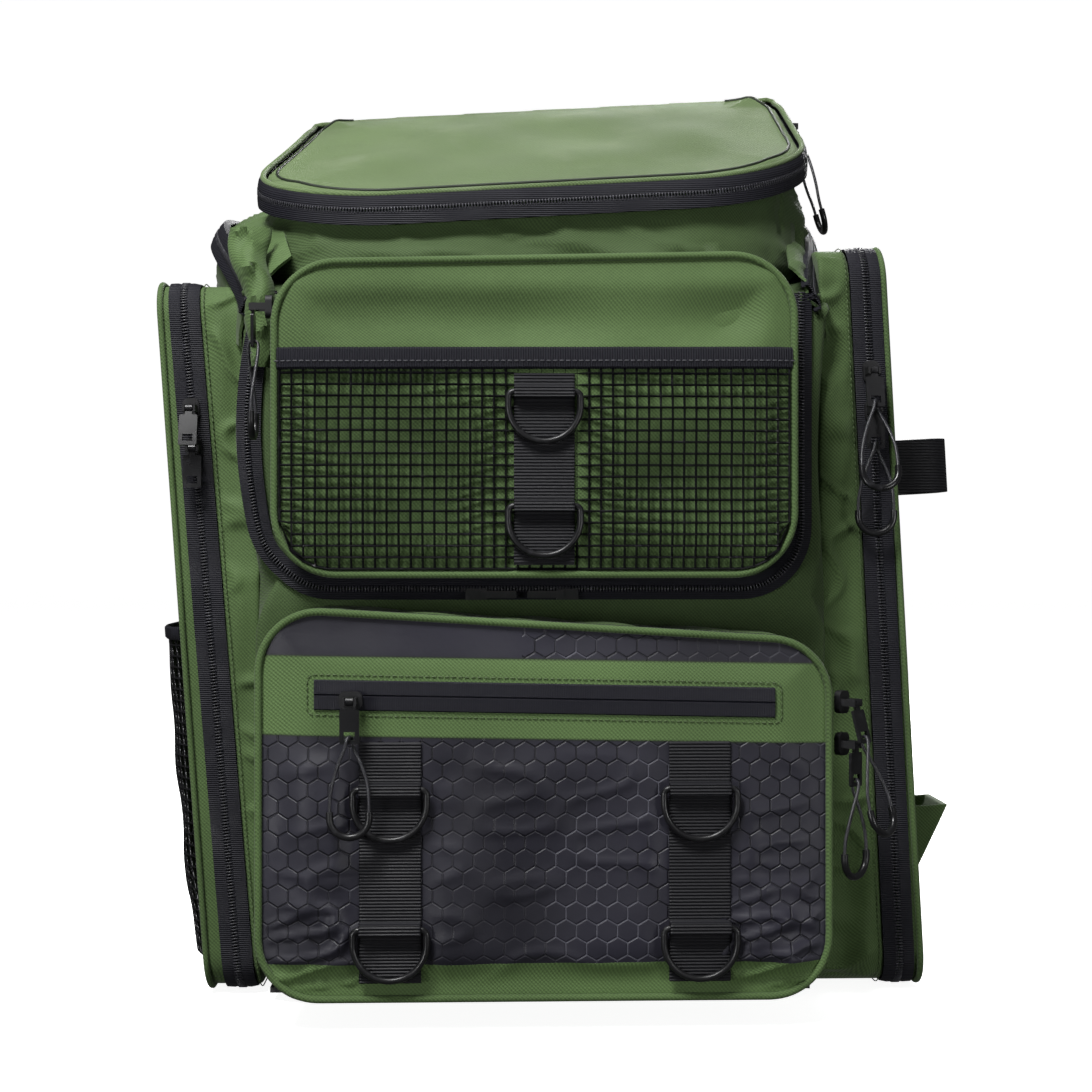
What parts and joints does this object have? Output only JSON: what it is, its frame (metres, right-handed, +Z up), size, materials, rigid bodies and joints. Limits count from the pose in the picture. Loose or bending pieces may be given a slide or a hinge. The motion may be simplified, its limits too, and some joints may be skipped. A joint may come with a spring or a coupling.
{
  "type": "tackle backpack",
  "caption": "Upright fabric tackle backpack with a sloping cap pocket, zipped front and side pockets, open mesh, rod holder, D-rings on webbing and padded shoulder straps.",
  "frame": {"origin": "middle of the base, on the ground", "axes": "+Z up, the front with its two pockets faces -Y, +X to the right as seen from the front"},
  "size_m": [0.4621, 0.3395, 0.5391],
  "materials": {
    "green_oxford": "woven polyester, matt",
    "board": "moulded sheet",
    "pad_mesh": "spacer mesh over foam",
    "zip_tape": "woven tape with coil teeth",
    "moulded_plastic": "satin",
    "webbing": "ribbed webbing",
    "coated_mesh": "coated open square mesh, glossy",
    "hex_fabric": "coated fabric with a hexagon emboss",
    "ring_plastic": "satin moulded",
    "slider_metal": "black enamel",
    "grip_plastic": "satin moulded",
    "pull_cord": "braided"
  },
  "bodies": {
    "root": {"main_shell": "green_oxford", "base_board": "board", "back_pad": "pad_mesh", "pack_zip_tapes": "zip_tape", "lower_pocket_gusset": "green_oxford", "left_pocket_tray": "green_oxford", "right_pocket_tray": "green_oxford", "shoulder_straps": "pad_mesh", "strap_webbing": "webbing", "strap_adjusters": "moulded_plastic", "haul_handle": "webbing"},
    "main_flap": {"flap_panel": "green_oxford", "flap_zip_tapes": "zip_tape", "cap_tray": "green_oxford", "upper_pocket_gusset": "green_oxford"},
    "cap_lid": {"cap_lid": "green_oxford"},
    "upper_cover": {"upper_cover": "green_oxford", "upper_mesh": "coated_mesh", "upper_webbing": "webbing"},
    "lower_cover": {"lower_cover": "hex_fabric", "lower_webbing": "webbing", "welt_zipper": "zip_tape"},
    "left_cover": {"left_cover": "green_oxford", "left_mesh_pocket": "coated_mesh"},
    "right_cover": {"right_cover": "green_oxford", "rod_strap": "webbing", "rod_pocket": "green_oxford"},
    "upper_ring_high": {"upper_ring_high": "ring_plastic"},
    "upper_ring_low": {"upper_ring_low": "ring_plastic"},
    "lower_ring_left_high": {"lower_ring_left_high": "ring_plastic"},
    "lower_ring_left_low": {"lower_ring_left_low": "ring_plastic"},
    "lower_ring_right_high": {"lower_ring_right_high": "ring_plastic"},
    "lower_ring_right_low": {"lower_ring_right_low": "ring_plastic"},
    "slider_right_high": {"slider_right_high": "slider_metal"},
    "pull_right_high": {"pull_right_high": "grip_plastic", "cord_right_high": "pull_cord"},
    "slider_right_low": {"slider_right_low": "slider_metal"},
    "pull_right_low": {"pull_right_low": "grip_plastic", "cord_right_low": "pull_cord"},
    "slider_left_high": {"slider_left_high": "slider_metal"},
    "pull_left_high": {"pull_left_high": "slider_metal"},
    "slider_left_low": {"slider_left_low": "slider_metal"},
    "pull_left_low": {"pull_left_low": "slider_metal"},
    "slider_lower_high": {"slider_lower_high": "slider_metal"},
    "pull_lower_high": {"pull_lower_high": "grip_plastic", "cord_lower_high": "pull_cord"},
    "slider_lower_low": {"slider_lower_low": "slider_metal"},
    "pull_lower_low": {"pull_lower_low": "grip_plastic", "cord_lower_low": "pull_cord"},
    "slider_upper": {"slider_upper": "slider_metal"},
    "pull_upper": {"pull_upper": "grip_plastic", "cord_upper": "pull_cord"},
    "slider_welt": {"slider_welt": "slider_metal"},
    "pull_welt": {"pull_welt": "grip_plastic", "cord_welt": "pull_cord"},
    "slider_cap": {"slider_cap": "slider_metal"},
    "pull_cap": {"pull_cap": "grip_plastic", "cord_cap": "pull_cord"},
    "slider_main_left": {"slider_main_left": "slider_metal"},
    "slider_main_right": {"slider_main_right": "slider_metal"}
  },
  "joints": [
    {"name": "main_flap_hinge", "type": "hinge", "parent": "root", "child": "main_flap", "pos_m": [0, 0.0845, 0.45093], "axis": [-1, 0, 0], "range_deg": [0, 95]},
    {"name": "cap_lid_hinge", "type": "hinge", "parent": "main_flap", "child": "cap_lid", "pos_m": [0, 0.084, 0.522], "axis": [-0.9982, 0, -0.0593], "range_deg": [0, 100]},
    {"name": "upper_cover_hinge", "type": "hinge", "parent": "main_flap", "child": "upper_cover", "pos_m": [0, -0.136, 0.236], "axis": [1, 0, 0], "range_deg": [0, 60]},
    {"name": "lower_cover_hinge", "type": "hinge", "parent": "root", "child": "lower_cover", "pos_m": [0, -0.155, 0.017], "axis": [1, 0, 0], "range_deg": [0, 80]},
    {"name": "left_cover_hinge", "type": "hinge", "parent": "root", "child": "left_cover", "pos_m": [-0.186, 0, 0.004], "axis": [0, -1, 0], "range_deg": [0, 80]},
    {"name": "right_cover_hinge", "type": "hinge", "parent": "root", "child": "right_cover", "pos_m": [0.216, 0, 0.004], "axis": [0, 1, 0], "range_deg": [0, 80]},
    {"name": "upper_ring_high_swing", "type": "hinge", "parent": "upper_cover", "child": "upper_ring_high", "pos_m": [0, -0.1403, 0.333], "axis": [-1, 0, 0], "range_deg": [0, 160]},
    {"name": "upper_ring_low_swing", "type": "hinge", "parent": "upper_cover", "child": "upper_ring_low", "pos_m": [0, -0.1403, 0.273], "axis": [-1, 0, 0], "range_deg": [0, 160]},
    {"name": "lower_ring_left_high_swing", "type": "hinge", "parent": "lower_cover", "child": "lower_ring_left_high", "pos_m": [-0.08, -0.1593, 0.127], "axis": [-1, 0, 0], "range_deg": [0, 160]},
    {"name": "lower_ring_left_low_swing", "type": "hinge", "parent": "lower_cover", "child": "lower_ring_left_low", "pos_m": [-0.08, -0.1593, 0.055], "axis": [-1, 0, 0], "range_deg": [0, 160]},
    {"name": "lower_ring_right_high_swing", "type": "hinge", "parent": "lower_cover", "child": "lower_ring_right_high", "pos_m": [0.08, -0.1593, 0.127], "axis": [-1, 0, 0], "range_deg": [0, 160]},
    {"name": "lower_ring_right_low_swing", "type": "hinge", "parent": "lower_cover", "child": "lower_ring_right_low", "pos_m": [0.08, -0.1593, 0.055], "axis": [-1, 0, 0], "range_deg": [0, 160]},
    {"name": "slider_right_high_slide", "type": "slide", "parent": "root", "child": "slider_right_high", "axis": [-0.0503, 0, 0.9987], "range_m": [0, 0.05]},
    {"name": "pull_right_high_swing", "type": "hinge", "parent": "slider_right_high", "child": "pull_right_high", "pos_m": [0.18558, -0.0863, 0.35], "axis": [-1, 0, 0], "range_deg": [0, 104]},
    {"name": "slider_right_low_slide", "type": "slide", "parent": "root", "child": "slider_right_low", "axis": [0.0503, 0, -0.9987], "range_m": [0, 0.29]},
    {"name": "pull_right_low_swing", "type": "hinge", "parent": "slider_right_low", "child": "pull_right_low", "pos_m": [0.18668, -0.0863, 0.328], "axis": [-1, 0, 0], "range_deg": [0, 104]},
    {"name": "slider_left_high_slide", "type": "slide", "parent": "root", "child": "slider_left_high", "axis": [-0.0807, 0, 0.9967], "range_m": [0, 0.05]},
    {"name": "pull_left_high_swing", "type": "hinge", "parent": "slider_left_high", "child": "pull_left_high", "pos_m": [-0.19425, -0.0863, 0.328], "axis": [-1, 0, 0], "range_deg": [0, 104]},
    {"name": "slider_left_low_slide", "type": "slide", "parent": "root", "child": "slider_left_low", "axis": [0.0807, 0, -0.9967], "range_m": [0, 0.27]},
    {"name": "pull_left_low_swing", "type": "hinge", "parent": "slider_left_low", "child": "pull_left_low", "pos_m": [-0.19247, -0.0863, 0.306], "axis": [-1, 0, 0], "range_deg": [0, 80]},
    {"name": "slider_lower_high_slide", "type": "slide", "parent": "root", "child": "slider_lower_high", "axis": [0, 0, 1], "range_m": [0, 0.012]},
    {"name": "pull_lower_high_swing", "type": "hinge", "parent": "slider_lower_high", "child": "pull_lower_high", "pos_m": [0.16249, -0.14799, 0.17], "axis": [-0.7071, -0.7071, 0], "range_deg": [0, 104]},
    {"name": "slider_lower_low_slide", "type": "slide", "parent": "root", "child": "slider_lower_low", "axis": [0, 0, -1], "range_m": [0, 0.1]},
    {"name": "pull_lower_low_swing", "type": "hinge", "parent": "slider_lower_low", "child": "pull_lower_low", "pos_m": [0.16249, -0.14799, 0.148], "axis": [-0.7071, -0.7071, 0], "range_deg": [0, 104]},
    {"name": "slider_upper_slide", "type": "slide", "parent": "main_flap", "child": "slider_upper", "axis": [0, 0, -1], "range_m": [0, 0.095]},
    {"name": "pull_upper_swing", "type": "hinge", "parent": "slider_upper", "child": "pull_upper", "pos_m": [-0.1543, -0.123, 0.379], "axis": [0, 1, 0], "range_deg": [0, 150]},
    {"name": "slider_welt_slide", "type": "slide", "parent": "lower_cover", "child": "slider_welt", "axis": [1, 0, 0], "range_m": [0, 0.205]},
    {"name": "pull_welt_swing", "type": "hinge", "parent": "slider_welt", "child": "pull_welt", "pos_m": [-0.1, -0.1675, 0.173], "axis": [-1, 0, 0], "range_deg": [0, 160]},
    {"name": "slider_cap_slide", "type": "slide", "parent": "main_flap", "child": "slider_cap", "axis": [0, -0.9107, -0.413], "range_m": [0, 0.05]},
    {"name": "pull_cap_swing", "type": "hinge", "parent": "slider_cap", "child": "pull_cap", "pos_m": [0.1653, 0.056, 0.51845], "axis": [0, -1, 0], "range_deg": [0, 120]},
    {"name": "slider_main_left_slide", "type": "slide", "parent": "root", "child": "slider_main_left", "axis": [-1, 0, 0], "range_m": [0, 0.09]},
    {"name": "slider_main_right_slide", "type": "slide", "parent": "root", "child": "slider_main_right", "axis": [1, 0, 0], "range_m": [0, 0.09]}
  ],
  "couplings": [
    {"joint": "pull_right_low_swing", "follows": "pull_right_high_swing", "ratio": 1},
    {"joint": "pull_lower_low_swing", "follows": "pull_lower_high_swing", "ratio": 1},
    {"joint": "pull_welt_swing", "follows": "lower_ring_left_high_swing", "ratio": 1}
  ]
}
